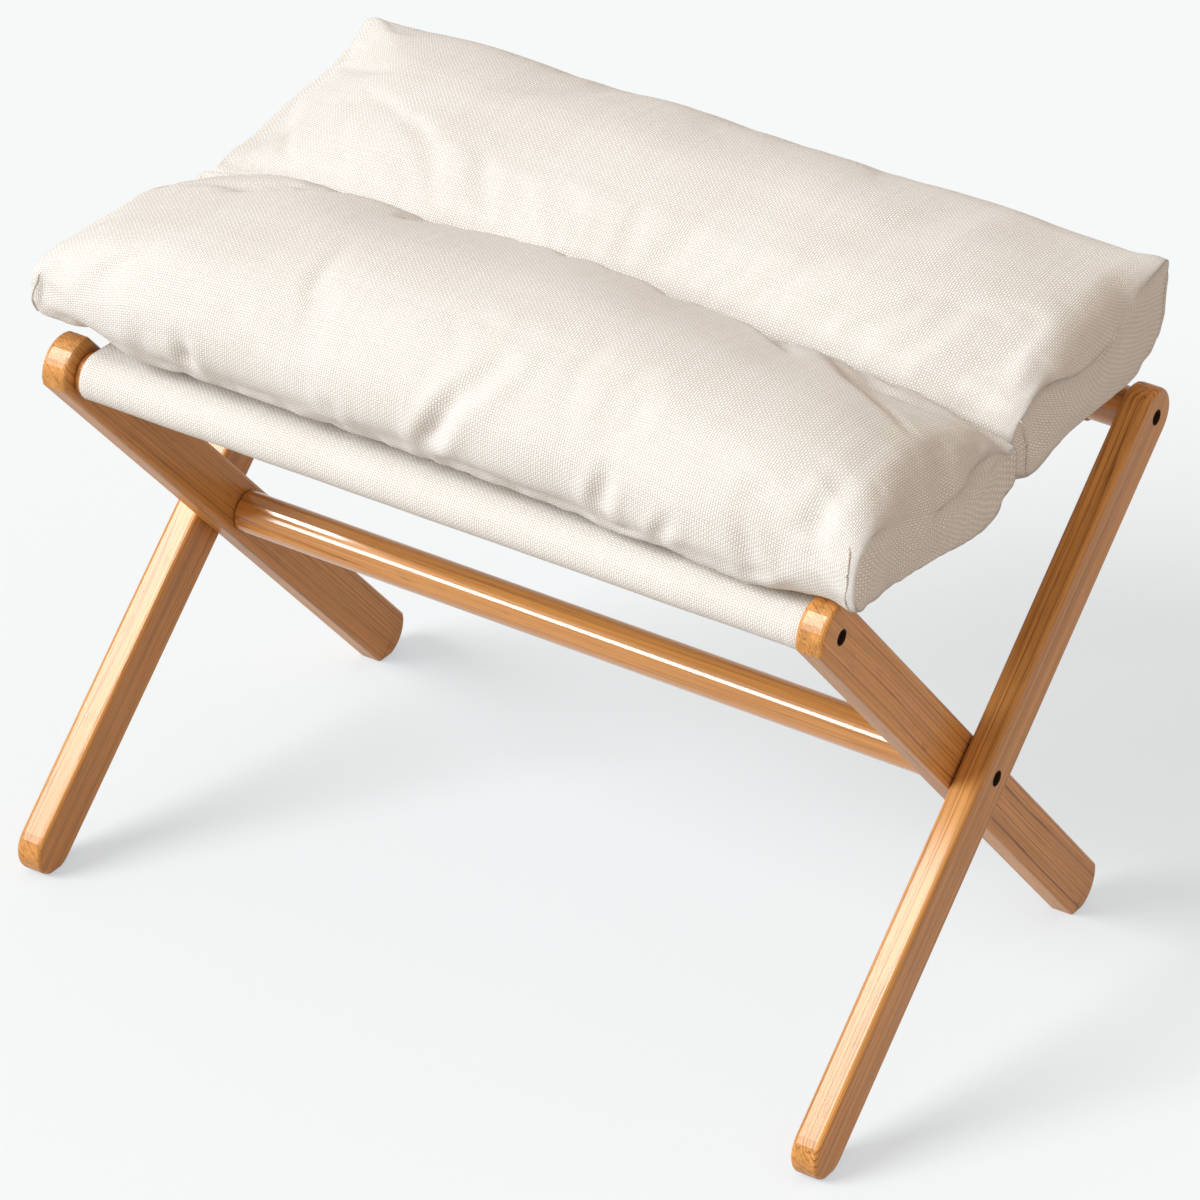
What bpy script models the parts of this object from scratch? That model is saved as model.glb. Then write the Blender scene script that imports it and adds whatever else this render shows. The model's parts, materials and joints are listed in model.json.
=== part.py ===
"""Folding stool: a crossed wooden frame, a canvas sling and a cushion of two lobes.

X runs along the rails, Y from front to back and Z up. The origin is on the floor,
midway between the feet and under the pivot axis. Lengths are in metres and angles
in degrees. The inner frame carries the front rail, the outer frame the back rail.
"""

import math

import bmesh
import bpy

# Clearances
touch_gap = 0.0003
cut_overrun = 0.002

# Frame
leg_width = 0.038
leg_thickness = 0.019
leg_edge_radius = 0.003
outer_end_radius = leg_width / 2
inner_end_radius = 0.0215
inner_end_offset = 0.0025
foot_land_depth = 0.0008
arm_length = 0.250
pivot_height = 0.197
lean_angle = 45.0
inner_width = 0.526

# Rails
dowel_diameter = 0.028
dowel_chamfer = 0.001

# Bolts, threaded inserts and washers
bolt_diameter = 0.006
bolt_head_diameter = 0.0094
bolt_head_height = 0.0035
bolt_edge_chamfer = 0.0005
socket_width = 0.005
socket_depth = 0.002
rail_bolt_length = 0.030
pivot_bolt_length = 0.050
counterbore_depth = 0.007
insert_diameter = 0.010
insert_length = 0.018
washer_diameter = 0.016
washer_thickness = 0.0008

# Sling
canvas_thickness = 0.0012
sling_margin = 0.005
sleeve_flat_length = 0.040
sling_ramp = 0.012
stitch_start = 0.028
stitch_end = 0.038
back_lap = 0.008

# Cushion
end_overhang = 0.044
lobe_overhang = 0.030
channel_width = 0.002
front_lobe_height = 0.103
back_lobe_height = 0.101
lift_run = 0.018

# Sections of the lobes from left to right. Each has its place as a share of the cushion's
# half width; its outer side, inner side, crown and lowest line as shares of the lobe's depth
# from the channel; its base, top, outer side's and inner side's heights as shares of the
# lobe's height; and the fullness of its outer top, inner top, outer bottom and inner bottom.
front_lobe_rows = (
    (-0.954, 0.923, 0.010, 0.569, 0.510, 0.068, 0.612, 0.311, 0.427, 3.2, 1.8, 2.2, 3.4),
    (-0.868, 0.957, 0.005, 0.564, 0.510, 0.068, 0.709, 0.369, 0.466, 2.7, 1.7, 2.3, 4),
    (-0.762, 0.982, 0.000, 0.554, 0.510, 0.000, 0.816, 0.408, 0.505, 2.45, 1.6, 2.3, 5),
    (-0.596, 0.996, 0.000, 0.544, 0.510, 0.000, 0.913, 0.427, 0.515, 2.3, 1.55, 2.3, 5),
    (-0.331, 1.001, 0.000, 0.539, 0.510, 0.000, 0.981, 0.437, 0.524, 2.2, 1.5, 2.3, 5),
    (0.000, 1.001, 0.000, 0.539, 0.510, 0.000, 1.000, 0.437, 0.524, 2.2, 1.5, 2.3, 5),
    (0.331, 1.001, 0.000, 0.539, 0.510, 0.000, 0.990, 0.437, 0.505, 2.2, 1.5, 2.35, 5),
    (0.596, 0.996, 0.000, 0.544, 0.510, 0.000, 0.932, 0.417, 0.466, 2.3, 1.5, 2.4, 5),
    (0.762, 0.982, 0.000, 0.559, 0.510, 0.000, 0.864, 0.388, 0.427, 2.4, 1.55, 2.5, 4.8),
    (0.868, 0.957, 0.000, 0.578, 0.481, 0.049, 0.777, 0.350, 0.388, 2.5, 1.6, 2.7, 4.4),
    (0.940, 0.933, 0.000, 0.598, 0.433, 0.049, 0.699, 0.330, 0.330, 2.6, 1.7, 2.7, 4),
)
back_lobe_rows = (
    (-0.954, 0.982, 0.010, 0.928, 0.539, 0.059, 0.782, 0.723, 0.416, 2.3, 0.9, 4.4, 3.2),
    (-0.868, 0.987, 0.005, 0.773, 0.530, 0.030, 0.822, 0.733, 0.455, 2.1, 1.1, 4.6, 4),
    (-0.762, 0.991, 0.000, 0.646, 0.520, 0.000, 0.881, 0.743, 0.495, 1.9, 1.4, 4.6, 5),
    (-0.596, 0.996, 0.000, 0.578, 0.515, 0.000, 0.941, 0.743, 0.515, 1.75, 1.55, 4.6, 5),
    (-0.331, 0.996, 0.000, 0.544, 0.510, 0.000, 0.990, 0.743, 0.525, 1.7, 1.6, 4.6, 5),
    (0.000, 0.996, 0.000, 0.539, 0.510, 0.000, 1.000, 0.743, 0.525, 1.7, 1.6, 4.6, 5),
    (0.331, 0.996, 0.000, 0.539, 0.510, 0.000, 1.000, 0.743, 0.505, 1.7, 1.6, 4.6, 5),
    (0.596, 0.996, 0.000, 0.569, 0.510, 0.000, 0.960, 0.743, 0.465, 1.7, 1.6, 4.6, 5),
    (0.762, 0.991, 0.000, 0.627, 0.520, 0.000, 0.901, 0.743, 0.426, 1.8, 1.55, 4.4, 4.8),
    (0.854, 0.991, 0.000, 0.685, 0.530, 0.020, 0.851, 0.743, 0.376, 1.9, 1.5, 4.2, 4.6),
    (0.927, 0.987, 0.000, 0.753, 0.539, 0.040, 0.802, 0.733, 0.337, 2.1, 1.45, 4, 4.4),
)
# Left and right end of each lobe: edge and bulge as shares of the cushion's half width,
# outer and inner inset as shares of the lobe's depth, top and bottom inset of its height.
front_lobe_ends = ((0.040, 0.006, 0.049, 0.058, 0.21, 0.12), (0.033, 0.026, 0.012, 0.015, 0.25, 0.05))
back_lobe_ends = ((0.036, 0.006, 0.015, 0.039, 0.09, 0.12), (0.026, 0.017, 0.010, 0.015, 0.14, 0.06))
edge_angles = (27.0, 50.0, 70.0, 84.0)
cap_shares = (0.74, 0.40)

# Facets
leg_arc_steps = 12
leg_edge_steps = 3
hole_sides = 16
counterbore_sides = 24
dowel_sides = 40
bolt_sides = 24
sleeve_arc_steps = 20
lobe_steps = 15
lobe_sides = 32

# Places worked out from the sizes above
half_span = arm_length * math.cos(math.radians(lean_angle))
rail_height = pivot_height + arm_length * math.sin(math.radians(lean_angle))
leg_gap = washer_thickness + 2 * touch_gap
inner_leg_centre = inner_width / 2 + leg_thickness / 2
outer_leg_centre = inner_leg_centre + leg_thickness + leg_gap
bolt_hole_radius = bolt_diameter / 2 + touch_gap
counterbore_radius = bolt_head_diameter / 2 + touch_gap
insert_bore_radius = insert_diameter / 2 + touch_gap
insert_bore_depth = insert_length + touch_gap
sleeve_radius = dowel_diameter / 2 + touch_gap + canvas_thickness / 2
ply_step = canvas_thickness + touch_gap
hinge_rise = sleeve_radius + ply_step - canvas_thickness / 2
cushion_rise = hinge_rise + canvas_thickness + touch_gap
leg_top_rise = inner_end_offset + inner_end_radius + 2 * touch_gap
sling_width = inner_width - 2 * sling_margin
cushion_width = sling_width + 2 * end_overhang
lobe_depth = half_span + lobe_overhang - channel_width / 2

wood = {"colour": (0.72, 0.42, 0.19), "roughness": 0.42, "metallic": 0.0}
dowel_wood = {"colour": (0.80, 0.50, 0.23), "roughness": 0.25, "metallic": 0.0}
dark_steel = {"colour": (0.035, 0.033, 0.032), "roughness": 0.45, "metallic": 0.9}
brass = {"colour": (0.72, 0.55, 0.25), "roughness": 0.35, "metallic": 1.0}
nylon = {"colour": (0.05, 0.045, 0.04), "roughness": 0.6, "metallic": 0.0}
canvas = {"colour": (0.86, 0.80, 0.72), "roughness": 0.95, "metallic": 0.0}
cover = {"colour": (0.88, 0.83, 0.76), "roughness": 0.97, "metallic": 0.0}


def clear_scene():
    for old in list(bpy.data.objects):
        bpy.data.objects.remove(old, do_unlink=True)


def make_material(name, finish):
    material = bpy.data.materials.new(name + "_finish")
    material.use_nodes = True
    shader = material.node_tree.nodes["Principled BSDF"]
    shader.inputs["Base Color"].default_value = (*finish["colour"], 1.0)
    shader.inputs["Roughness"].default_value = finish["roughness"]
    shader.inputs["Metallic"].default_value = finish["metallic"]
    return material


def make_mesh(name, points, faces):
    """A closed mesh with its faces pointing out and its round sides smooth."""
    mesh = bpy.data.meshes.new(name)
    shell = bmesh.new()
    vertices = [shell.verts.new(point) for point in points]
    for face in faces:
        shell.faces.new([vertices[index] for index in face])
    bmesh.ops.recalc_face_normals(shell, faces=shell.faces)
    shell.to_mesh(mesh)
    shell.free()
    mesh.shade_smooth()
    mesh.set_sharp_from_angle(angle=math.radians(lean_angle))
    return mesh


def add_axis(name, place):
    """An empty on a joint's axis, which carries one rigid body."""
    axis = bpy.data.objects.new(name, None)
    axis.location = place
    bpy.context.collection.objects.link(axis)
    return axis


def add_piece(name, mesh, finish, body, place=(0, 0, 0), turn=(0, 0, 0)):
    piece = bpy.data.objects.new(name, mesh)
    piece.location = place
    piece.rotation_euler = [math.radians(angle) for angle in turn]
    piece.parent = body
    piece.data.materials.clear()
    piece.data.materials.append(make_material(name, finish))
    bpy.context.collection.objects.link(piece)
    return piece


def cut_hole(piece, name, mesh, along):
    """Cuts a leg with a turned cutter that crosses it at a place along its length."""
    cutter = bpy.data.objects.new(name, mesh)
    cutter.location = (0, along, 0)
    cutter.parent = piece
    cutter.hide_render = True
    cutter.display_type = "WIRE"
    bpy.context.collection.objects.link(cutter)
    cut = piece.modifiers.new(name, "BOOLEAN")
    cut.operation = "DIFFERENCE"
    cut.solver = "EXACT"
    cut.object = cutter


# Turned shapes

def ring_points(x, radius, sides, hexagonal=False):
    """A ring about X: round, or a hexagon whose flats lie at the radius."""
    points = []
    for index in range(sides):
        angle = 360.0 * index / sides
        reach = radius
        if hexagonal:
            reach = radius / math.cos(math.radians((angle + 30.0) % 60.0 - 30.0))
        turn = math.radians(angle)
        points.append((x, reach * math.cos(turn), reach * math.sin(turn)))
    return points


def turned_mesh(name, profile, sides, tube=False):
    """Rings of (x, radius) or (x, radius, True for a hexagon), joined in their order."""
    points = []
    for ring in profile:
        points += ring_points(ring[0], ring[1], sides, len(ring) > 2 and ring[2])
    count = len(profile)
    faces = []
    for index in range(count if tube else count - 1):
        near = index * sides
        far = (index + 1) % count * sides
        for side in range(sides):
            after = (side + 1) % sides
            faces.append((near + side, near + after, far + after, far + side))
    if not tube:
        faces.append(tuple(range(sides)))
        faces.append(tuple(range((count - 1) * sides, count * sides)))
    return make_mesh(name, points, faces)


def dowel_mesh(name, length):
    """A round rail with a bore in each end for its threaded insert."""
    end = length / 2
    radius = dowel_diameter / 2
    half = [
        (-end + insert_bore_depth, insert_bore_radius),
        (-end, insert_bore_radius),
        (-end, radius - dowel_chamfer),
        (-end + dowel_chamfer, radius),
    ]
    return turned_mesh(name, half + [(-x, r) for x, r in reversed(half)], dowel_sides)


def bolt_mesh(name, length):
    """A cap bolt along X: the shank's end of the head at zero, the tip at minus X."""
    head = bolt_head_diameter / 2
    shank = bolt_diameter / 2
    return turned_mesh(name, [
        (bolt_head_height - socket_depth, socket_width / 2, True),
        (bolt_head_height, socket_width / 2, True),
        (bolt_head_height, head - bolt_edge_chamfer),
        (bolt_head_height - bolt_edge_chamfer, head),
        (0, head),
        (0, shank),
        (bolt_edge_chamfer - length, shank),
        (-length, shank - bolt_edge_chamfer),
    ], bolt_sides)


def tube_mesh(name, outer, inner, length):
    half = length / 2
    rings = [(-half, outer), (half, outer), (half, inner), (-half, inner)]
    return turned_mesh(name, rings, hole_sides, tube=True)


def bolt_cutter_mesh(name, side):
    """A through hole with a counterbore that opens on the outer face."""
    face = side * leg_thickness / 2
    overrun = side * cut_overrun
    step = face - side * counterbore_depth
    return turned_mesh(name, [
        (-face - overrun, bolt_hole_radius),
        (step, bolt_hole_radius),
        (step, counterbore_radius),
        (face + overrun, counterbore_radius),
    ], counterbore_sides)


def through_cutter_mesh(name):
    reach = leg_thickness / 2 + cut_overrun
    return turned_mesh(name, [(-reach, bolt_hole_radius), (reach, bolt_hole_radius)], hole_sides)


# Legs

def round_end(centre, radius, middle, land=None):
    """Arc points of a leg's end about its middle angle, with a flat land across one."""
    spread = math.degrees(math.asin(min(leg_width / 2 / radius, 1.0)))
    angles = [middle - spread + 2 * spread * step / leg_arc_steps for step in range(leg_arc_steps + 1)]
    if land is not None:
        reach = math.degrees(math.acos(1.0 - foot_land_depth / radius))
        angles = [angle for angle in angles if abs(angle - land) > reach]
        angles = sorted(angles + [land - reach, land + reach])
    turns = [math.radians(angle) for angle in angles]
    return [(centre + radius * math.cos(turn), radius * math.sin(turn)) for turn in turns]


def leg_outline(turn, radius, top_offset):
    """A leg's outline as (along, across), the rail's end at plus along."""
    foot = (pivot_height - radius + foot_land_depth) / math.sin(math.radians(lean_angle))
    floor_side = (-90.0 - turn) % 360.0
    top = round_end(arm_length + top_offset, radius, 0.0)
    return top + round_end(-foot, radius, 180.0, land=floor_side)


def inset_outline(outline, inset):
    """The outline moved inward by the same distance on every side."""
    moved = []
    for index, (along, across) in enumerate(outline):
        before = outline[index - 1]
        after = outline[(index + 1) % len(outline)]
        first = (along - before[0], across - before[1])
        second = (after[0] - along, after[1] - across)
        first_length = math.hypot(*first)
        second_length = math.hypot(*second)
        first_normal = (-first[1] / first_length, first[0] / first_length)
        second_normal = (-second[1] / second_length, second[0] / second_length)
        share = 1.0 + first_normal[0] * second_normal[0] + first_normal[1] * second_normal[1]
        moved.append((
            along + inset * (first_normal[0] + second_normal[0]) / share,
            across + inset * (first_normal[1] + second_normal[1]) / share,
        ))
    return moved


def leg_mesh(name, outline):
    """A board of this outline whose long edges are rounded over."""
    layers = []
    for step in range(leg_edge_steps + 1):
        angle = math.radians(90.0 * step / leg_edge_steps)
        depth = leg_thickness / 2 - leg_edge_radius * (1.0 - math.cos(angle))
        layers.append((depth, leg_edge_radius * (1.0 - math.sin(angle))))
    layers += [(-depth, inset) for depth, inset in reversed(layers)]
    points = []
    for depth, inset in layers:
        points += [(depth, along, across) for along, across in inset_outline(outline, inset)]
    count = len(outline)
    faces = [tuple(range(count)), tuple(range((len(layers) - 1) * count, len(layers) * count))]
    for layer in range(len(layers) - 1):
        for index in range(count):
            after = (index + 1) % count
            near = layer * count
            far = near + count
            faces.append((near + index, near + after, far + after, far + index))
    return make_mesh(name, points, faces)


def add_legs(body, kind, centre, turn, radius, top_offset, pivot_counterbored):
    for word, side in (("left", -1), ("right", 1)):
        name = f"{kind}_leg_{word}"
        mesh = leg_mesh(name, leg_outline(turn, radius, top_offset))
        leg = add_piece(name, mesh, wood, body, (side * centre, 0, 0), (turn, 0, 0))
        cut_hole(leg, name + "_rail_cut", bolt_cutter_mesh(name + "_rail_cut", side), arm_length)
        if pivot_counterbored:
            cutter = bolt_cutter_mesh(name + "_pivot_cut", side)
        else:
            cutter = through_cutter_mesh(name + "_pivot_cut")
        cut_hole(leg, name + "_pivot_cut", cutter, 0)


# Rails and their fasteners

def add_rail(body, name, place, length):
    add_piece(name, dowel_mesh(name, length), dowel_wood, body, place)


def add_fasteners(body, kind, place, rail_end, bolted_face, bolt_length):
    """A threaded insert in each end of a rail, and the bolt that draws the leg to it."""
    seat = bolted_face - counterbore_depth + touch_gap
    for word, side in (("left", -1), ("right", 1)):
        flip = (0, 0, 0 if side > 0 else 180.0)
        bolt = bolt_mesh(f"{kind}_bolt_{word}", bolt_length)
        add_piece(f"{kind}_bolt_{word}", bolt, dark_steel, body, (side * seat, *place), flip)
        insert = tube_mesh(f"{kind}_insert_{word}", insert_diameter / 2, bolt_hole_radius, insert_length)
        middle = side * (rail_end - insert_length / 2)
        add_piece(f"{kind}_insert_{word}", insert, brass, body, (middle, *place))


def add_washers(body):
    """A thin washer on each pivot bolt, between the inner and the outer leg."""
    middle = inner_width / 2 + leg_thickness + leg_gap / 2
    for word, side in (("left", -1), ("right", 1)):
        name = f"pivot_washer_{word}"
        mesh = tube_mesh(name, washer_diameter / 2, bolt_hole_radius, washer_thickness)
        add_piece(name, mesh, nylon, body, (side * middle, 0, 0))


# Sling

def sleeve_path():
    """Middle line of the canvas round a rail, as (away from the rail, up).

    It runs from the flat over the rail, down round it and back up to the ply that
    is stitched under the flat.
    """
    ply = sleeve_radius - ply_step
    start = (stitch_start, ply)
    direction = math.degrees(math.atan2(start[1], start[0]))
    spread = math.degrees(math.acos(sleeve_radius / math.hypot(*start)))
    leave = 360.0 + direction - spread
    path = [(sleeve_flat_length, sleeve_radius)]
    for step in range(sleeve_arc_steps + 1):
        angle = math.radians(90.0 + (leave - 90.0) * step / sleeve_arc_steps)
        path.append((sleeve_radius * math.cos(angle), sleeve_radius * math.sin(angle)))
    return path + [start, (stitch_end, ply)]


def ribbon_mesh(name, path):
    """Canvas of one thickness along a path in Y and Z, as wide as the sling in X."""
    half = canvas_thickness / 2
    points = []
    for index, (y, z) in enumerate(path):
        before = path[max(index - 1, 0)]
        after = path[min(index + 1, len(path) - 1)]
        run = (after[0] - before[0], after[1] - before[1])
        length = math.hypot(*run)
        side = (-run[1] / length * half, run[0] / length * half)
        for x in (-sling_width / 2, sling_width / 2):
            points.append((x, y + side[0], z + side[1]))
            points.append((x, y - side[0], z - side[1]))
    faces = [(0, 1, 3, 2)]
    for index in range(len(path) - 1):
        near = index * 4
        far = near + 4
        for first, second in ((0, 1), (1, 3), (3, 2), (2, 0)):
            faces.append((near + first, near + second, far + second, far + first))
    last = (len(path) - 1) * 4
    faces.append((last, last + 1, last + 3, last + 2))
    return make_mesh(name, points, faces)


def add_sling(front_body, back_body, sleeve_body):
    level = hinge_rise + canvas_thickness / 2
    front_path = [(half_span - touch_gap / 2, level), (sleeve_flat_length + sling_ramp, level)]
    front_path += sleeve_path()
    add_piece("sling_front_panel", ribbon_mesh("sling_front_panel", front_path), canvas, front_body)
    back_path = [(touch_gap / 2, canvas_thickness / 2), (half_span + back_lap, canvas_thickness / 2)]
    add_piece("sling_back_panel", ribbon_mesh("sling_back_panel", back_path), canvas, back_body)
    mirrored = [(-y, z) for y, z in sleeve_path()]
    add_piece("sling_back_sleeve", ribbon_mesh("sling_back_sleeve", mirrored), canvas, sleeve_body)


# Cushion

def row_between(rows, x):
    """The values of a table of sections at x, led smoothly from row to row."""
    index = 0
    while index < len(rows) - 2 and x > rows[index + 1][0]:
        index += 1
    near = rows[index]
    far = rows[index + 1]
    before = rows[max(index - 1, 0)]
    after = rows[min(index + 2, len(rows) - 1)]
    run = far[0] - near[0]
    share = (x - near[0]) / run
    near_weight = share * share * (2.0 * share - 3.0) + 1.0
    near_slope_weight = share * (share - 1.0) ** 2 * run
    far_slope_weight = share * share * (share - 1.0) * run
    values = []
    for column in range(1, len(near)):
        near_slope = (far[column] - before[column]) / (far[0] - before[0])
        far_slope = (after[column] - near[column]) / (after[0] - near[0])
        value = near_weight * near[column] + (1.0 - near_weight) * far[column]
        values.append(value + near_slope_weight * near_slope + far_slope_weight * far_slope)
    return values


def signed_power(value, power):
    return math.copysign(abs(value) ** power, value)


def lobe_section(rows, place, height):
    """A closed ring of a lobe as (away from the channel, above the base)."""
    values = row_between(rows, place)
    outer, inner, crown, lowest = (value * lobe_depth for value in values[:4])
    base, top, outer_side, inner_side = (value * height for value in values[4:8])
    ramp = (abs(place) * cushion_width / 2 - sling_width / 2 + lift_run) / lift_run
    ramp = min(max(ramp, 0.0), 1.0)
    base = max(base, (leg_top_rise - cushion_rise) * ramp * ramp * (3.0 - 2.0 * ramp))
    ring = []
    for index in range(lobe_sides):
        angle = 2.0 * math.pi * index / lobe_sides
        away = math.cos(angle)
        up = math.sin(angle)
        middle = crown if up > 0 else lowest
        side = outer_side if away > 0 else inner_side
        reach = (outer - middle) if away > 0 else (middle - inner)
        rise = (top - side) if up > 0 else (side - base)
        power = 2.0 / values[8 + (0 if away > 0 else 1) + (0 if up > 0 else 2)]
        distance = middle + reach * signed_power(away, power)
        ring.append((distance, side + rise * signed_power(up, power)))
    return ring


def ring_middle(ring):
    distances = [point[0] for point in ring]
    heights = [point[1] for point in ring]
    return (min(distances) + max(distances)) / 2, (min(heights) + max(heights)) / 2


def end_rings(x, ring, outward, end, height):
    """Rings that round a lobe over its end and close it with a slightly bulging face."""
    edge, bulge, outer_inset, inner_inset, top_inset, bottom_inset = end
    edge *= cushion_width / 2
    bulge *= cushion_width / 2
    middle, level = ring_middle(ring)
    half_depth = max(point[0] for point in ring) - middle
    half_height = max(point[1] for point in ring) - level
    rings = []
    for angle in edge_angles:
        turn = math.radians(angle)
        drawn = 1.0 - math.cos(turn)
        points = []
        for distance, rise in ring:
            inset = (outer_inset if distance > middle else inner_inset) * lobe_depth * drawn
            sink = (top_inset if rise > level else bottom_inset) * height * drawn
            points.append((
                middle + (distance - middle) * (1.0 - inset / half_depth),
                level + (rise - level) * (1.0 - sink / half_height),
            ))
        rings.append((x + outward * edge * math.sin(turn), points))
    last_x, last = rings[-1]
    middle, level = ring_middle(last)
    for share in cap_shares:
        points = [
            (middle + (distance - middle) * share, level + (rise - level) * share)
            for distance, rise in last
        ]
        rings.append((last_x + outward * bulge * (1.0 - share * share), points))
    return rings, (last_x + outward * bulge, middle, level)


def lobe_mesh(name, rows, ends, height, side, channel, base):
    """A crowned lobe on one side of the channel, with drawn-in sides and rounded ends."""
    first = rows[0][0]
    last = rows[-1][0]
    body = []
    for step in range(lobe_steps + 1):
        place = first + (last - first) * step / lobe_steps
        body.append((place * cushion_width / 2, lobe_section(rows, place, height)))
    left_rings, left_tip = end_rings(*body[0], -1, ends[0], height)
    right_rings, right_tip = end_rings(*body[-1], 1, ends[1], height)
    rings = left_rings[::-1] + body + right_rings

    points = []
    for x, ring in rings:
        for distance, rise in ring:
            points.append((x, channel + side * (channel_width / 2 + distance), base + rise))
    faces = []
    for ring in range(len(rings) - 1):
        near = ring * lobe_sides
        far = near + lobe_sides
        for index in range(lobe_sides):
            after = (index + 1) % lobe_sides
            faces.append((near + index, near + after, far + after, far + index))
    last_ring = (len(rings) - 1) * lobe_sides
    for start, (x, distance, rise) in ((0, left_tip), (last_ring, right_tip)):
        points.append((x, channel + side * (channel_width / 2 + distance), base + rise))
        for index in range(lobe_sides):
            after = (index + 1) % lobe_sides
            faces.append((start + index, start + after, len(points) - 1))
    return make_mesh(name, points, faces)


def add_cushion(front_body, back_body):
    """The front lobe is placed from the front rail, the back lobe from the seat's fold."""
    name = "cushion_front_lobe"
    mesh = lobe_mesh(name, front_lobe_rows, front_lobe_ends, front_lobe_height, -1, half_span, cushion_rise)
    add_piece(name, mesh, cover, front_body)
    name = "cushion_back_lobe"
    rise = cushion_rise - hinge_rise
    mesh = lobe_mesh(name, back_lobe_rows, back_lobe_ends, back_lobe_height, 1, 0, rise)
    add_piece(name, mesh, cover, back_body)


def main():
    clear_scene()
    pivot = (0, 0, pivot_height)
    inner_frame = add_axis("inner_frame", pivot)
    outer_frame = add_axis("outer_frame", pivot)
    front_seat = add_axis("front_seat", (0, -half_span, rail_height))
    back_seat = add_axis("back_seat", (0, 0, rail_height + hinge_rise))
    back_sleeve = add_axis("back_sleeve", (0, half_span, rail_height))

    inner_turn = 180.0 - lean_angle
    add_legs(inner_frame, "inner", inner_leg_centre, inner_turn, inner_end_radius, inner_end_offset, False)
    add_legs(outer_frame, "outer", outer_leg_centre, lean_angle, outer_end_radius, 0.0, True)

    rise = rail_height - pivot_height
    inner_end = inner_width / 2 - touch_gap
    outer_end = outer_leg_centre - leg_thickness / 2 - touch_gap
    inner_face = inner_leg_centre + leg_thickness / 2
    outer_face = outer_leg_centre + leg_thickness / 2
    front_place = (-half_span, rise)
    back_place = (half_span, rise)
    add_rail(inner_frame, "front_rail", (0, *front_place), 2 * inner_end)
    add_rail(inner_frame, "pivot_stretcher", (0, 0, 0), 2 * inner_end)
    add_rail(outer_frame, "back_rail", (0, *back_place), 2 * outer_end)
    add_fasteners(inner_frame, "front_rail", front_place, inner_end, inner_face, rail_bolt_length)
    add_fasteners(inner_frame, "pivot", (0, 0), inner_end, outer_face, pivot_bolt_length)
    add_fasteners(outer_frame, "back_rail", back_place, outer_end, outer_face, rail_bolt_length)
    add_washers(inner_frame)

    add_sling(front_seat, back_seat, back_sleeve)
    add_cushion(front_seat, back_seat)


main()
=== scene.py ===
"""Looks of a folding footstool: lacquered wood, a canvas sling and a stuffed cushion.

Every length is in metres in the part's own frame: X along the rails, Y from front to
back and Z up. The tables of the cushion's sections are in millimetres, with heights
measured from the cushion's base.
"""

import json
import math

import bmesh
import bpy
import numpy as np
from bpy.props import FloatProperty, FloatVectorProperty, PointerProperty
from mathutils import Matrix, Vector, noise


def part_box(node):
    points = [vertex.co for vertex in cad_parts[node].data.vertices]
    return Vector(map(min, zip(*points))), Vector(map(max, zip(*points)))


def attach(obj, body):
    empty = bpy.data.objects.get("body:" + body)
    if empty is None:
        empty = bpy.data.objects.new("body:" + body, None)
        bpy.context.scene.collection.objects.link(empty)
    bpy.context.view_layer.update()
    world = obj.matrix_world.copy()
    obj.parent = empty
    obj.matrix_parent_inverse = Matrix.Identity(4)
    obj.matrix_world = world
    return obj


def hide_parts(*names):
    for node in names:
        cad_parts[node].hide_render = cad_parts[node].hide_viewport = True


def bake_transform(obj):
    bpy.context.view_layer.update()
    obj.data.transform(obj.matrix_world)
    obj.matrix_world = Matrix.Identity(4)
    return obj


bl_info = {
    "name": "Folding stool",
    "version": (1, 0, 0),
    "blender": (4, 5, 0),
    "location": "View3D > Sidebar > Stool",
    "description": "Dresses a folding stool in lacquered wood, canvas and a stuffed cushion",
    "category": "Object",
}

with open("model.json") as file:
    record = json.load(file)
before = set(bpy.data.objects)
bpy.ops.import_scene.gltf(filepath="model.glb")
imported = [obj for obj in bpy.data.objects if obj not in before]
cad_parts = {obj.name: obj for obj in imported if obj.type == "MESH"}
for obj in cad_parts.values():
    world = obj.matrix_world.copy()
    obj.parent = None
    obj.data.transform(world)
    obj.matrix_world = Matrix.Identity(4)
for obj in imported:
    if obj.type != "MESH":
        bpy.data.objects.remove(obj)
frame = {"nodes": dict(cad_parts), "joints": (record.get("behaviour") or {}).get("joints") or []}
nodes = frame["nodes"]
joints = {joint["name"]: Vector(joint["pos_m"]) for joint in frame["joints"]}
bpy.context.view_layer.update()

mm = 0.001
cushion_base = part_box("cushion_front_lobe")[0].z
pivot = joints["fold"]
front_rail_middle = joints["front_seat_swing"]
back_rail_middle = joints["back_sleeve_turn"]
seat_hinge = joints["seat_fold"]
rail_radius = (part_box("front_rail")[1].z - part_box("front_rail")[0].z) / 2
sling_half_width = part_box("sling_back_panel")[1].x
canvas_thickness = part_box("sling_back_panel")[1].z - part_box("sling_back_panel")[0].z
bore_clearance = 0.0006
bore_radius = (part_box("pivot_bolt_left")[1].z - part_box("pivot_bolt_left")[0].z) / 2 + bore_clearance

sides = (("left", -1), ("right", 1))


# Settings that a user would change

def colour_setting(name, description, default):
    return FloatVectorProperty(
        name=name, description=description, default=default, subtype="COLOR", min=0.0, max=1.0)


def length_setting(name, description, default):
    return FloatProperty(
        name=name, description=description, default=default, unit="LENGTH", precision=4, min=0.0)


def strength_setting(name, description, default, **options):
    return FloatProperty(name=name, description=description, default=default, min=0.0, **options)


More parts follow.
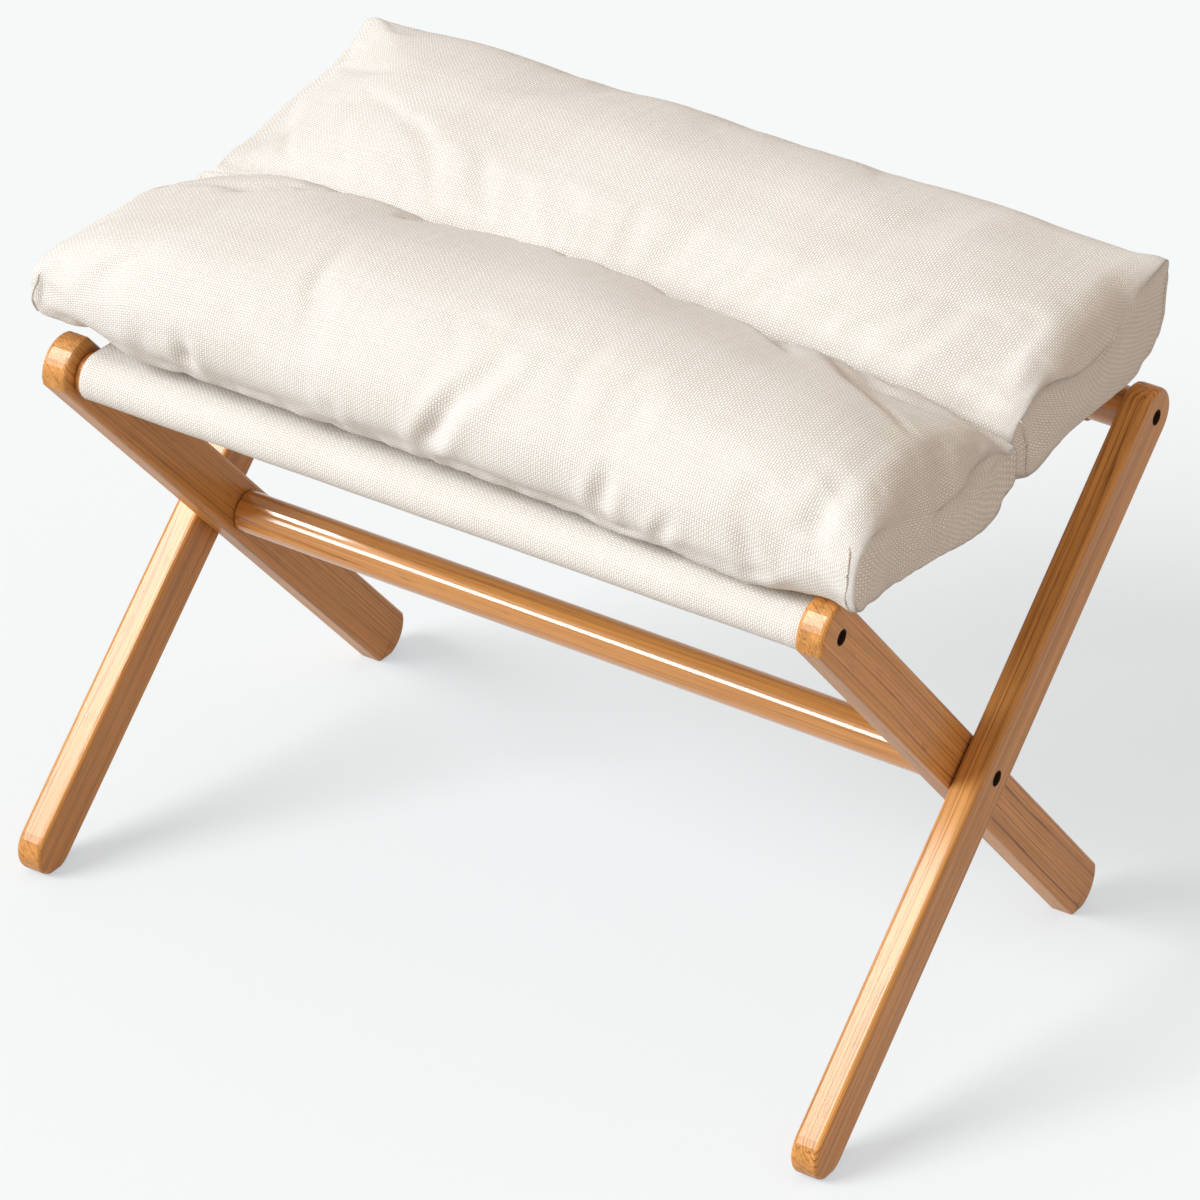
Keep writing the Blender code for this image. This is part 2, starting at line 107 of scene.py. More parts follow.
class WoodSettings(bpy.types.PropertyGroup):
    """Finish of the legs and the rails"""
    early_colour: colour_setting("Early wood", "Pale part of each growth ring", (0.68, 0.30, 0.080))
    late_colour: colour_setting("Late wood", "Dark line of each growth ring", (0.27, 0.088, 0.020))
    rail_tint: colour_setting("Rail tint", "Tint of the rails' lacquer", (1.0, 0.96, 0.86))
    # Painted shade: a near-black colour for the bolt holes' walls, standing in for the shade inside the
    # recesses
    bore_shade_colour: colour_setting("Bore", "Colour of the bolt holes' walls", (0.05, 0.022, 0.009))
    ring_width: length_setting("Ring width", "Distance between growth rings", 0.0021)


class ClothSettings(bpy.types.PropertyGroup):
    """Cloth of the sling and the cushion"""
    cover_colour: colour_setting("Cover", "Colour of the cushion's cover", (0.87, 0.83, 0.78))
    canvas_colour: colour_setting("Canvas", "Colour of the sling", (0.89, 0.845, 0.785))
    cover_pitch: length_setting("Cover thread", "Distance between the cover's threads", 0.0016)
    canvas_pitch: length_setting("Canvas thread", "Distance between the canvas's threads", 0.0016)
    thread_colour: colour_setting("Sewing thread", "Colour of the stitches", (0.80, 0.74, 0.66))


class CushionSettings(bpy.types.PropertyGroup):
    """Filling of the cushion"""
    pressure: strength_setting(
        "Filling pressure", "How hard the filling presses on the cover", 4.0, max=20.0)
    largest_move: length_setting(
        "Largest move", "How far a point of the cover may move as it fills", 0.009)
    welt_radius: length_setting("Welt radius", "Half the width of a welt on a seam", 0.0011)


class StageSettings(bpy.types.PropertyGroup):
    """Floor and light"""
    floor_colour: colour_setting("Floor", "Colour of the floor", (0.47, 0.43, 0.39))
    key_power: strength_setting("Key light", "Strength of the wide light at the left", 3.35)
    fill_power: strength_setting(
        "Fill light", "Power of the weak light at the right", 2.0, unit="POWER")
    strip_power: strength_setting(
        "Strip light", "Power of the strip that gives the lacquer its sheen", 260.0, unit="POWER")
    world_strength: strength_setting(
        "Surrounding light", "Strength of the even light all round", 0.60)


settings_groups = {
    "stool_wood": WoodSettings,
    "stool_cloth": ClothSettings,
    "stool_cushion": CushionSettings,
    "stool_stage": StageSettings,
}


# Node trees

def new_material(name):
    material = bpy.data.materials.new(name)
    material.use_nodes = True
    tree = material.node_tree
    return material, tree, tree.nodes["Principled BSDF"]


def set_inputs(tree, node, values):
    """Sets a node's inputs to values, or joins them to sockets."""
    for key, value in values.items():
        if isinstance(value, bpy.types.NodeSocket):
            tree.links.new(value, node.inputs[key])
        else:
            node.inputs[key].default_value = value


def set_options(thing, options):
    for key, value in options.items():
        setattr(thing, key, value)


def add_node(tree, kind, values=None, **options):
    node = tree.nodes.new(kind)
    set_options(node, options)
    set_inputs(tree, node, values or {})
    return node


def maths(tree, operation, *values):
    inputs = dict(enumerate(values))
    return add_node(tree, "ShaderNodeMath", inputs, operation=operation).outputs[0]


def product(tree, first, *others):
    """The first value times each of the others in turn."""
    for other in others:
        first = maths(tree, "MULTIPLY", first, other)
    return first


def vector_maths(tree, operation, *values):
    inputs = dict(enumerate(values))
    node = add_node(tree, "ShaderNodeVectorMath", inputs, operation=operation)
    return node.outputs["Value" if operation == "LENGTH" else "Vector"]


def mix_colours(tree, share, first, second, blend="MIX"):
    values = {0: share, 6: first, 7: second}
    return add_node(tree, "ShaderNodeMix", values, data_type="RGBA", blend_type=blend).outputs[2]


def mix_values(tree, share, first, second):
    values = {0: share, 2: first, 3: second}
    return add_node(tree, "ShaderNodeMix", values, data_type="FLOAT").outputs[0]


def shaded(tree, colour, *shades):
    """A colour with its red, green and blue each darkened by a shade."""
    shades = add_node(tree, "ShaderNodeCombineColor", dict(enumerate(shades))).outputs[0]
    return mix_colours(tree, 1.0, colour, shades, "MULTIPLY")


def spread(tree, value, low, high, new_low=0.0, new_high=1.0):
    values = {"Value": value, "From Min": low, "From Max": high, "To Min": new_low, "To Max": new_high}
    return add_node(tree, "ShaderNodeMapRange", values).outputs[0]


def clouds(tree, place, scale, detail=2.0, roughness=0.5):
    values = {"Vector": place, "Scale": scale, "Detail": detail, "Roughness": roughness}
    return add_node(tree, "ShaderNodeTexNoise", values).outputs["Fac"]


def random_tone(tree, number):
    values = {"W": number}
    return add_node(tree, "ShaderNodeTexWhiteNoise", values, noise_dimensions="1D").outputs["Value"]


def add_bump(tree, shader, height, distance):
    bump = add_node(tree, "ShaderNodeBump", {"Height": height, "Distance": distance, "Strength": 1.0})
    tree.links.new(bump.outputs[0], shader.inputs["Normal"])


def object_place(tree):
    return add_node(tree, "ShaderNodeTexCoord").outputs["Object"]


def opaque(colour):
    return (*colour, 1.0)


# Finishes

lacquers = {
    "board": {
        "rings": (0.55, 1.8), "roughness": 0.34, "specular": 0.14, "coat": 0.25,
        "coat_roughness": 0.22, "relief": 0.00014},
    "rail": {
        "rings": (0.35, 0.9), "roughness": 0.22, "specular": 0.35, "coat": 1.0,
        "coat_roughness": 0.13, "relief": 0.00004},
}
# How far the painted shade in the bolt holes fades out into the wood
bore_shade_edge = 0.0004


def wood_finish(name, turn, place, kind, shaded_bores=()):
    """Lacquered pine, with painted shade on the walls of its bolt holes. The turn lays the board's length
    along Y and its thickness along X.
    """
    wood = bpy.context.scene.stool_wood
    lacquer = lacquers[kind]
    material, tree, shader = new_material(name)
    coordinates = object_place(tree)
    turned = {
        "Vector": coordinates, "Rotation": [math.radians(angle) for angle in turn], "Location": place}
    board = add_node(tree, "ShaderNodeMapping", turned).outputs[0]

    def grain(across, along, detail, roughness):
        """Clouds drawn out along the board."""
        stretched = vector_maths(tree, "MULTIPLY", board, (across, along, across))
        return clouds(tree, stretched, 1.0, detail, roughness)

    drift = product(tree, maths(tree, "SUBTRACT", grain(7.0, 2.4, 2.0, 0.45), 0.5), 0.009)
    flat = vector_maths(tree, "MULTIPLY", board, (1.0, 0.0, 1.0))
    radius = maths(tree, "ADD", vector_maths(tree, "LENGTH", flat), drift)
    uneven = product(tree, grain(190.0, 1.6, 2.0, 0.6), 2.6)
    ring_place = maths(tree, "ADD", maths(tree, "DIVIDE", radius, wood.ring_width), uneven)
    rings = maths(tree, "FRACT", ring_place)
    ring_tone = random_tone(tree, maths(tree, "FLOOR", ring_place))
    late = product(tree, maths(tree, "POWER", rings, 4.0), spread(tree, rings, 0.88, 1.0, 1.0, 0.0))
    fibres = grain(760.0, 7.0, 3.0, 0.6)
    streaks = grain(150.0, 2.2, 2.0, 0.5)
    bands = grain(34.0, 1.4, 2.0, 0.5)
    flecks = spread(tree, grain(1250.0, 42.0, 1.0, 0.5), 0.64, 0.76)

    ring_strength = spread(tree, bands, 0.3, 0.7, *lacquer["rings"])
    share = product(tree, late, ring_strength, spread(tree, ring_tone, 0.0, 1.0, 0.15, 1.25))
    share = maths(tree, "ADD", share, spread(tree, fibres, 0.48, 0.78, 0.0, 0.55))
    share = maths(tree, "MINIMUM", share, 1.0)
    colour = mix_colours(tree, share, opaque(wood.early_colour), opaque(wood.late_colour))
    shade = product(
        tree, spread(tree, streaks, 0.25, 0.75, 0.76, 1.16), spread(tree, bands, 0.3, 0.7, 0.90, 1.08),
        spread(tree, flecks, 0.0, 1.0, 1.0, 0.66))
    colour = shaded(tree, colour, shade, shade, shade)
    if kind == "rail":
        colour = mix_colours(tree, 1.0, colour, opaque(wood.rail_tint), "MULTIPLY")
    # Painted shade: each bolt hole's wall is coloured near black, as the shade inside the recess would make
    # it
    for bore in shaded_bores:
        beside = vector_maths(tree, "SUBTRACT", coordinates, bore)
        beside = vector_maths(tree, "MULTIPLY", beside, (0.0, 1.0, 1.0))
        away = vector_maths(tree, "LENGTH", beside)
        beyond_painted_shade = spread(tree, away, bore_radius, bore_radius + bore_shade_edge)
        colour = mix_colours(tree, beyond_painted_shade, opaque(wood.bore_shade_colour), colour)
    dull = product(tree, clouds(tree, board, 26.0, 3.0), 0.16)
    set_inputs(tree, shader, {
        "Base Color": colour,
        "Roughness": maths(tree, "ADD", dull, lacquer["roughness"]),
        "Specular IOR Level": lacquer["specular"],
        "Specular Tint": (1.0, 0.86, 0.70, 1.0),
        "Coat Weight": lacquer["coat"],
        "Coat Roughness": lacquer["coat_roughness"]})
    height = maths(tree, "ADD", product(tree, fibres, 0.6), product(tree, late, 0.8))
    add_bump(tree, shader, maths(tree, "SUBTRACT", height, flecks), lacquer["relief"])
    return material


def metal_finish(name, colour, roughness, metallic=1.0):
    material, tree, shader = new_material(name)
    coordinates = object_place(tree)
    patches = clouds(tree, coordinates, 420.0, 4.0, 0.6)
    worn = opaque([part * 1.7 for part in colour])
    set_inputs(tree, shader, {
        "Base Color": mix_colours(tree, spread(tree, patches, 0.45, 0.75), opaque(colour), worn),
        "Roughness": spread(tree, patches, 0.2, 0.8, roughness - 0.08, roughness + 0.12),
        "Metallic": metallic})
    add_bump(tree, shader, clouds(tree, coordinates, 2600.0, 2.0), 0.00003)
    return material


def woven_finish(name, colour, pitch, depth):
    """Plain weave whose threads follow the cloth's own cut, with slubs, a soft nap and painted shade where
    the threads dip.
    """
    material, tree, shader = new_material(name)
    place = add_node(tree, "ShaderNodeUVMap", uv_map="cut").outputs[0]
    wander = add_node(tree, "ShaderNodeTexNoise", {"Vector": place, "Scale": 130.0, "Detail": 2.0})
    shift = vector_maths(tree, "SUBTRACT", wander.outputs["Color"], (0.5, 0.5, 0.5))
    shift = vector_maths(tree, "MULTIPLY", shift, (pitch * 0.75, pitch * 0.75, 0.0))
    threads = vector_maths(tree, "ADD", place, shift)
    threads = vector_maths(tree, "MULTIPLY", threads, (1.0 / pitch, 1.0 / pitch, 1.0))
    split = add_node(tree, "ShaderNodeSeparateXYZ", {0: threads}).outputs

    rounds, crowns, numbers = [], [], []
    for thread in (split[0], split[1]):
        rounds.append(maths(tree, "ABSOLUTE", maths(tree, "SINE", product(tree, thread, math.pi))))
        crowns.append(maths(tree, "SQRT", rounds[-1]))
        numbers.append(maths(tree, "FLOOR", thread))
    parity = maths(tree, "FLOORED_MODULO", maths(tree, "ADD", *numbers), 2.0)
    warp_over = product(tree, crowns[0], spread(tree, rounds[1], 0.0, 1.0, 0.45, 1.0))
    weft_over = product(tree, crowns[1], spread(tree, rounds[0], 0.0, 1.0, 0.10, 0.62))
    height = mix_values(tree, parity, warp_over, weft_over)

    tone = mix_values(tree, parity, *[random_tone(tree, number) for number in numbers])
    nap = clouds(tree, place, 2400.0, 2.0, 0.6)
    patches = clouds(tree, place, 11.0, 3.0, 0.55)
    # Partly the threads' own tone and partly painted shade: the colour darkens, and grows warmer, where the
    # threads dip between their crossings
    shade = product(
        tree, spread(tree, height, 0.0, 0.85, 0.66, 1.09), spread(tree, tone, 0.0, 1.0, 0.965, 1.02),
        spread(tree, patches, 0.3, 0.7, 0.975, 1.015))
    green, blue = maths(tree, "POWER", shade, 1.35), maths(tree, "POWER", shade, 1.75)
    set_inputs(tree, shader, {
        "Base Color": shaded(tree, opaque(colour), shade, green, blue),
        "Roughness": spread(tree, nap, 0.2, 0.8, 0.86, 1.0),
        "Specular IOR Level": 0.22,
        "Sheen Weight": 0.18,
        "Sheen Roughness": 0.5})
    add_bump(tree, shader, maths(tree, "ADD", height, product(tree, nap, 0.25)), depth)
    return material


def thread_finish(name, colour):
    material, tree, shader = new_material(name)
    twist = clouds(tree, object_place(tree), 1500.0, 2.0)
    shadow = opaque([part * 0.82 for part in colour])
    set_inputs(tree, shader, {
        "Base Color": mix_colours(tree, twist, shadow, opaque(colour)),
        "Roughness": spread(tree, twist, 0.2, 0.8, 0.6, 0.8)})
    add_bump(tree, shader, twist, 0.00015)
    return material


# Meshes

def add_object(name, data):
    thing = bpy.data.objects.new(name, data)
    bpy.context.scene.collection.objects.link(thing)
    return thing


def new_piece(name, points, faces, cuts=None):
    """A mesh piece with its faces out; cuts gives each face corner its place on the cut cloth."""
    mesh = bpy.data.meshes.new(name)
    faces = [[int(number) for number in face] for face in faces]
    mesh.from_pydata([tuple(point) for point in points], [], faces)
    if cuts is not None:
        layer = mesh.uv_layers.new(name="cut")
        layer.data.foreach_set("uv", np.concatenate([np.asarray(cut) for cut in cuts]).ravel())
    piece = add_object(name, mesh)
    shell = bmesh.new()
    shell.from_mesh(mesh)
    bmesh.ops.recalc_face_normals(shell, faces=shell.faces)
    shell.to_mesh(mesh)
    shell.free()
    mesh.shade_smooth()
    return piece


def squares(table):
    """The four corners of every square of a table, with the table's rows and columns kept."""
    return np.stack([table[:-1, :-1], table[:-1, 1:], table[1:, 1:], table[1:, :-1]], 2)


def tube_faces(rings, sides_round, first=0):
    """Faces round a tube whose rings of points are numbered from first, and over its ends."""
    numbers = first + np.arange(rings * sides_round).reshape(rings, sides_round)
    wrapped = np.hstack([numbers, numbers[:, :1]])
    return [*squares(wrapped).reshape(-1, 4), numbers[0], numbers[-1]]


def finish_piece(piece, material, body=None):
    piece.data.materials.append(material)
    if body:
        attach(piece, body)
    return piece


def dress_node(name, material):
    node = nodes[name]
    node.data.materials.clear()
    node.data.materials.append(material)


def rows_of(items, name, size=3, kind=float):
    """One value of each item, as the rows of a table."""
    values = np.empty(len(items) * size, kind)
    items.foreach_get(name, values)
    return values.reshape(-1, size)


def places_of(mesh):
    return rows_of(mesh.vertices, "co")


def normals_of(mesh):
    return rows_of(mesh.vertex_normals, "vector")


def set_places(mesh, places):
    mesh.vertices.foreach_set("co", np.asarray(places, float).ravel())
    mesh.update()


def bake_modifiers(piece):
    """The piece's mesh as its modifiers leave it, with none of them left."""
    evaluated = piece.evaluated_get(bpy.context.evaluated_depsgraph_get())
    mesh = bpy.data.meshes.new_from_object(evaluated)
    piece.modifiers.clear()
    piece.data = mesh
    mesh.shade_smooth()


def smooth_columns(rows, places):
    """The columns of a table after its first one, read at places along its first one."""
    rows = np.array(rows, float)
    along = rows[:, 0]
    index = np.clip(np.searchsorted(along, places) - 1, 0, len(along) - 2)
    width = along[index + 1] - along[index]
    share = np.clip((places - along[index]) / width, 0.0, 1.0)
    width, share = width[:, None], share[:, None]
    values = rows[:, 1:]
    slopes = np.gradient(values, along, axis=0)
    return (
        (2 * share ** 3 - 3 * share ** 2 + 1) * values[index]
        + (share ** 3 - 2 * share ** 2 + share) * width * slopes[index]
        + (3 * share ** 2 - 2 * share ** 3) * values[index + 1]
        + (share ** 3 - share ** 2) * width * slopes[index + 1])


def lengths_along(points):
    """How far along a polyline each of its points lies."""
    steps = np.linalg.norm(np.diff(points, axis=0), axis=1)
    return np.concatenate([[0.0], np.cumsum(steps)])


def resample(points, count):
    """Points spread evenly along a polyline, both ends kept."""
    points = np.asarray(points, float)
    along = lengths_along(points)
    wanted = np.linspace(0.0, along[-1], count)
    return np.stack([np.interp(wanted, along, column) for column in points.T], 1)


def eased_line(points, rounds):
    """A polyline with its inner points evened out, both ends kept."""
    points = np.array(points, float)
    for _ in range(rounds):
        points[1:-1] = 0.5 * points[1:-1] + 0.25 * (points[:-2] + points[2:])
    return points


def path_length(points):
    return float(lengths_along(points)[-1])


# Cushion

# x, front, back, base, top, crown place, lowest place, front side height, back side height,
# and the fullness of the four quarters: front top, back top, front bottom, back bottom.
front_lobe_rows = [
    (-288, -191, -3, 7, 63, -118, -106, 32, 44, 3.2, 1.8, 2.2, 3.4),
    (-262, -198, -2, 7, 73, -117, -106, 38, 48, 2.7, 1.7, 2.3, 4.0),
    (-230, -203, -1, 0, 84, -115, -106, 42, 52, 2.45, 1.6, 2.7, 5.0),
    (-180, -206, -1, 0, 94, -113, -106, 44, 53, 2.3, 1.55, 2.7, 5.0),
    (-100, -207, -1, 0, 101, -112, -106, 45, 54, 2.2, 1.5, 2.7, 5.0),
    (0, -207, -1, 0, 103, -112, -106, 45, 54, 2.2, 1.5, 2.7, 5.0),
    (100, -207, -1, 0, 102, -112, -106, 45, 52, 2.2, 1.5, 2.8, 5.0),
    (180, -206, -1, 0, 96, -113, -106, 43, 48, 2.3, 1.5, 3.0, 5.0),
    (230, -204, -1, 0, 89, -116, -106, 40, 44, 2.4, 1.55, 3.1, 4.8),
    (268, -199, -1, 3, 79, -120, -98, 36, 40, 2.5, 1.6, 2.9, 4.4),
]
back_lobe_rows = [
    (-288, 3, 203, 6, 79, 192, 112, 42, 73, 0.90, 2.3, 3.2, 4.4),
    (-262, 2, 204, 3, 83, 160, 110, 46, 74, 1.10, 2.1, 4.0, 4.6),
    (-230, 1, 205, 0, 89, 134, 108, 50, 75, 1.40, 1.9, 5.0, 4.6),
    (-180, 1, 206, 0, 95, 120, 107, 52, 75, 1.55, 1.75, 5.0, 4.6),
    (-100, 1, 206, 0, 100, 113, 106, 53, 75, 1.60, 1.7, 5.0, 4.6),
    (0, 1, 206, 0, 101, 112, 106, 53, 75, 1.60, 1.7, 5.0, 4.6),
    (100, 1, 206, 0, 101, 112, 106, 51, 75, 1.60, 1.7, 5.0, 4.6),
    (180, 1, 206, 0, 97, 118, 106, 47, 75, 1.60, 1.7, 5.0, 4.6),
    (230, 1, 205, 0, 91, 130, 108, 43, 75, 1.55, 1.8, 4.8, 4.4),
    (262, 1, 205, 2, 86, 142, 110, 38, 75, 1.50, 1.9, 4.6, 4.2),
]

# The left and the right end of each lobe: edge, insets and bulge. The insets are for the
# front, the back, the top at its front, middle and back, and the bottom.
front_lobe_ends = (
    (14.0, (10.0, 12.0, 18.0, 24.0, 20.0, 12.0), 4.0), (30.0, (6.0, 5.0, 16.0, 38.0, 22.0, 6.0), 4.0))
back_lobe_ends = (
    (12.0, (8.0, 3.0, 9.0, 12.0, 4.0, 12.0), 3.0), (28.0, (4.0, 2.0, 8.0, 40.0, 3.0, 8.0), 4.0))

top_steps = 34
side_steps = 16
body_steps = 92
edge_angles = (14.0, 28.0, 42.0, 56.0, 70.0, 84.0)
quarter_samples = 40

# How the cloth of the cover behaves while it is filled, and how much of its broad
# swelling is taken back
cover_behaviour = {
    "quality": 6, "mass": 0.25, "tension_stiffness": 18, "compression_stiffness": 12,
    "shear_stiffness": 6, "bending_stiffness": 0.35, "use_pressure": True, "shrink_min": -0.045,
}
filling_frames = 20
broad_share = 0.7
broad_rounds = 70

# Each soft fold presses in along its line and swells a little at both sides of it
shoulder_height, shoulder_place, shoulder_width = 0.42, 1.9, 0.9
crease_samples = 12


def section_points(row):
    """A closed section as (y, height): from the front's upper corner over the top and round."""
    front, back, base, top, crown, lowest, front_side, back_side = row[:8]
    powers = row[8:]

    def arc(first):
        points = []
        for angle in np.linspace(first, first - 90.0, quarter_samples):
            cosine, sine = math.cos(math.radians(angle)), math.sin(math.radians(angle))
            behind, above = cosine >= 0, sine >= 0
            power = 2.0 / powers[(1 if behind else 0) + (0 if above else 2)]
            middle = crown if above else lowest
            reach = (back - middle) if behind else (middle - front)
            side = back_side if behind else front_side
            rise = (top - side) if above else (side - base)
            y = middle + reach * math.copysign(abs(cosine) ** power, cosine)
            points.append((y, side + rise * math.copysign(abs(sine) ** power, sine)))
        return points

    quarters = ((135.0, top_steps), (45.0, side_steps), (-45.0, top_steps), (-135.0, side_steps))
    return np.concatenate([resample(arc(first), steps + 1)[:-1] for first, steps in quarters])


def end_numbers(count):
    """The ring's points round an end face, at the edges of a table of its points."""
    over, down = np.arange(top_steps + 1), np.arange(side_steps + 1)
    numbers = np.zeros((side_steps + 1, top_steps + 1), int)
    numbers[0] = over
    numbers[-1] = (2 * top_steps + side_steps - over) % count
    numbers[:, 0] = -down % count
    numbers[:, -1] = top_steps + down
    return numbers


def end_face(ring, numbers, x, bulge):
    """The inner points of an end face, filled in from the ring round it."""
    top, bottom = ring[numbers[0]], ring[numbers[-1]]
    front, back = ring[numbers[:, 0]], ring[numbers[:, -1]]
    over = (np.arange(1, top_steps) / top_steps)[:, None]
    down = (np.arange(1, side_steps) / side_steps)[:, None, None]
    places = (
        (1 - down) * top[1:-1] + down * bottom[1:-1]
        + (1 - over) * front[1:-1, None] + over * back[1:-1, None]
        - (1 - over) * (1 - down) * top[0] - over * (1 - down) * top[-1]
        - (1 - over) * down * bottom[0] - over * down * bottom[-1])
    swell = 16 * over * (1 - over) * down * (1 - down)
    return [*np.dstack([x + bulge * swell ** 1.5, places]).reshape(-1, 3)]


def end_rings(x, section, outward, edge, insets):
    """Rings that round a lobe over its end, each drawn in by its share of the insets."""
    middle = (section.max(0) + section.min(0)) / 2
    half = (section.max(0) - section.min(0)) / 2
    offset = section - middle
    front, back, front_top, middle_top, back_top, bottom = insets
    across = offset[:, 0] / half[0]
    away = np.abs(across) ** 2 * (3 - 2 * np.abs(across))
    top = middle_top + (np.where(across < 0, front_top, back_top) - middle_top) * away
    sideways = np.where(offset[:, 0] < 0, front, back)
    drawn = np.stack([sideways, np.where(offset[:, 1] > 0, top, bottom)], 1)
    rings = []
    for angle in edge_angles:
        turn = math.radians(angle)
        scale = 1 - drawn * (1 - math.cos(turn)) / half
        rings.append((x + outward * edge * math.sin(turn), middle + offset * scale))
    return rings


def lobe_grid(rows, ends):
    """Points, faces and cloth cuts of a lobe; each end has its edge, insets and bulge."""
    first, last = rows[0][0], rows[-1][0]
    places = np.linspace(first, last, body_steps + 1)
    sections = [section_points(row) for row in smooth_columns(rows, places)]
    rings = end_rings(first, sections[0], -1, *ends[0][:2])[::-1]
    rings += list(zip(places, sections))
    rings += end_rings(last, sections[-1], 1, *ends[1][:2])
    count = len(sections[0])
    points = [(x, y, height) for x, section in rings for y, height in section]

    top_middle = top_steps // 2
    bottom_middle = top_steps + side_steps + top_steps // 2
    along = lengths_along(np.array([(x, *section[top_middle]) for x, section in rings]))
    around = []
    for x, section in rings:
        steps = np.linalg.norm(np.roll(section, -1, axis=0) - section, axis=1)
        lengths = np.concatenate([[0.0], np.cumsum(np.roll(steps, -bottom_middle))])
        around.append(lengths - lengths[(top_middle - bottom_middle) % count])
    numbers = np.arange(len(points)).reshape(-1, count)
    numbers = numbers[:, (np.arange(count + 1) + bottom_middle) % count]
    places = np.dstack(np.broadcast_arrays(along[:, None], around))
    faces, cuts = [[np.roll(squares(table), bottom_middle, 1)] for table in (numbers, places)]

    edges = end_numbers(count)
    inner_shape = side_steps - 1, top_steps - 1
    for which, outward, bulge in ((0, -1, ends[0][2]), (len(rings) - 1, 1, ends[1][2])):
        x, ring = rings[which]
        numbers = edges + which * count
        numbers[1:-1, 1:-1] = len(points) + np.arange(math.prod(inner_shape)).reshape(inner_shape)
        points += end_face(ring, edges, x, outward * bulge)
        runs = np.linalg.norm(np.diff(np.array(points)[numbers], axis=0), axis=2)
        down = np.vstack([np.zeros(top_steps + 1), np.cumsum(runs, axis=0)])
        level = around[which][(np.arange(top_steps + 1) - bottom_middle) % count]
        faces.append(squares(numbers))
        cuts.append(squares(np.dstack(np.broadcast_arrays(along[which] + outward * down, level))))
    faces = np.concatenate([table.reshape(-1, 4) for table in faces])
    return np.array(points, float), faces, np.concatenate([table.reshape(-1, 4, 2) for table in cuts])


def pull_points(points, pulls):
    """Moves points near each place by its offset, fading over its radius; all in millimetres."""
    moved = points.copy()
    for place, offset, radius in np.array(pulls, float) * mm:
        distance = np.linalg.norm((points - place - (0.0, 0.0, cushion_base)) / radius, axis=1)
        moved += np.exp(-distance ** 2)[:, None] * offset
    return moved


def eased(mesh, values, rounds):
    """Values at a mesh's points, evened out with their neighbours round after round."""
    edges = rows_of(mesh.edges, "vertices", 2, int)
    near, far = np.concatenate([edges, edges[:, ::-1]]).T
    neighbours = np.bincount(near, minlength=len(values))[:, None]
    for _ in range(rounds):
        sums = np.stack([np.bincount(near, column[far], len(values)) for column in values.T], 1)
        values = 0.5 * values + 0.5 * sums / neighbours
    return values


def distance_to_line(points, line):
    """Each point's distance to a polyline, and how far along the line it is nearest."""
    starts, runs = line[:-1], np.diff(line, axis=0)
    lengths = np.linalg.norm(runs, axis=1)
    share = np.clip(((points[:, None] - starts) * runs).sum(2) / lengths ** 2, 0.0, 1.0)
    distances = np.linalg.norm(points[:, None] - starts - share[..., None] * runs, axis=2)
    nearest = distances.argmin(1)[:, None]
    along = lengths_along(line)[nearest] + np.take_along_axis(share, nearest, 1) * lengths[nearest]
    return distances.min(1), along[:, 0]


def press_creases(mesh, creases):
    """Presses soft folds into the cover: each has its line, half width and depth in millimetres."""
    points, normals = places_of(mesh) / mm, normals_of(mesh)
    depth = np.zeros(len(points))
    for line, width, deep in creases:
        line = np.array(line, float)
        line[:, 2] += cushion_base / mm
        distance, along = distance_to_line(points, resample(line, crease_samples))
        total = path_length(line)
        fade = np.sin(np.pi * np.clip(along / total, 0.0, 1.0) * 0.9 + 0.16) ** 0.7
        ratio = distance / width
        shoulder = np.exp(-((ratio - shoulder_place) / shoulder_width) ** 2)
        depth += deep * fade * (np.exp(-ratio ** 2) - shoulder_height * shoulder)
    set_places(mesh, (points - depth[:, None] * normals) * mm)


def soften(mesh, amount, length, seed, mask):
    """Low swells and hollows of an unevenly filled cover."""
    points, normals = places_of(mesh), normals_of(mesh)
    swell = np.array([noise.noise(Vector(point) / length + Vector((seed, 0, 0))) for point in points])
    set_places(mesh, points + (swell * mask * amount)[:, None] * normals)


def welt(name, line, radius):
    """A rounded cord of cloth along a line, tapered at both ends."""
    sides_round, flat = 8, 0.8
    line = np.asarray(line, float)
    count = len(line)
    tangent = np.gradient(line, axis=0)
    tangent /= np.linalg.norm(tangent, axis=1, keepdims=True)
    side = np.cross(tangent, (0.0, 0.0, 1.0))
    side[np.linalg.norm(side, axis=1) < 0.2] = (0.0, 1.0, 0.0)
    side /= np.linalg.norm(side, axis=1, keepdims=True)
    up = np.cross(side, tangent)
    along = lengths_along(line)
    points = []
    for index in range(count):
        taper = min(1.0, (index + 0.35) / 3, (count - index - 0.65) / 3)
        for step in range(sides_round):
            angle = 2 * math.pi * step / sides_round
            offset = side[index] * math.cos(angle) * flat + up[index] * math.sin(angle)
            points.append(line[index] + offset * radius * taper)
    faces = tube_faces(count, sides_round)
    strips = np.arange(sides_round + 1) * radius * 0.8
    cuts = [*squares(np.dstack(np.meshgrid(along, strips, indexing="ij"))).reshape(-1, 4, 2)]
    cuts += [np.array(points)[face, :2] for face in faces[-2:]]
    return new_piece(name, points, faces, cuts)


# Canvas

# The cloth's gap over its rail, and how far from the rail's middle the flat over it ends
# and the tail under it begins and ends
rail_gap = 0.0003
flat_end = 0.040
tail_start, tail_end = 0.028, 0.038
ramp_length = 0.052
lap = 0.008
front_extra_width = 0.0038
seam_places = (0.0305, 0.0355)


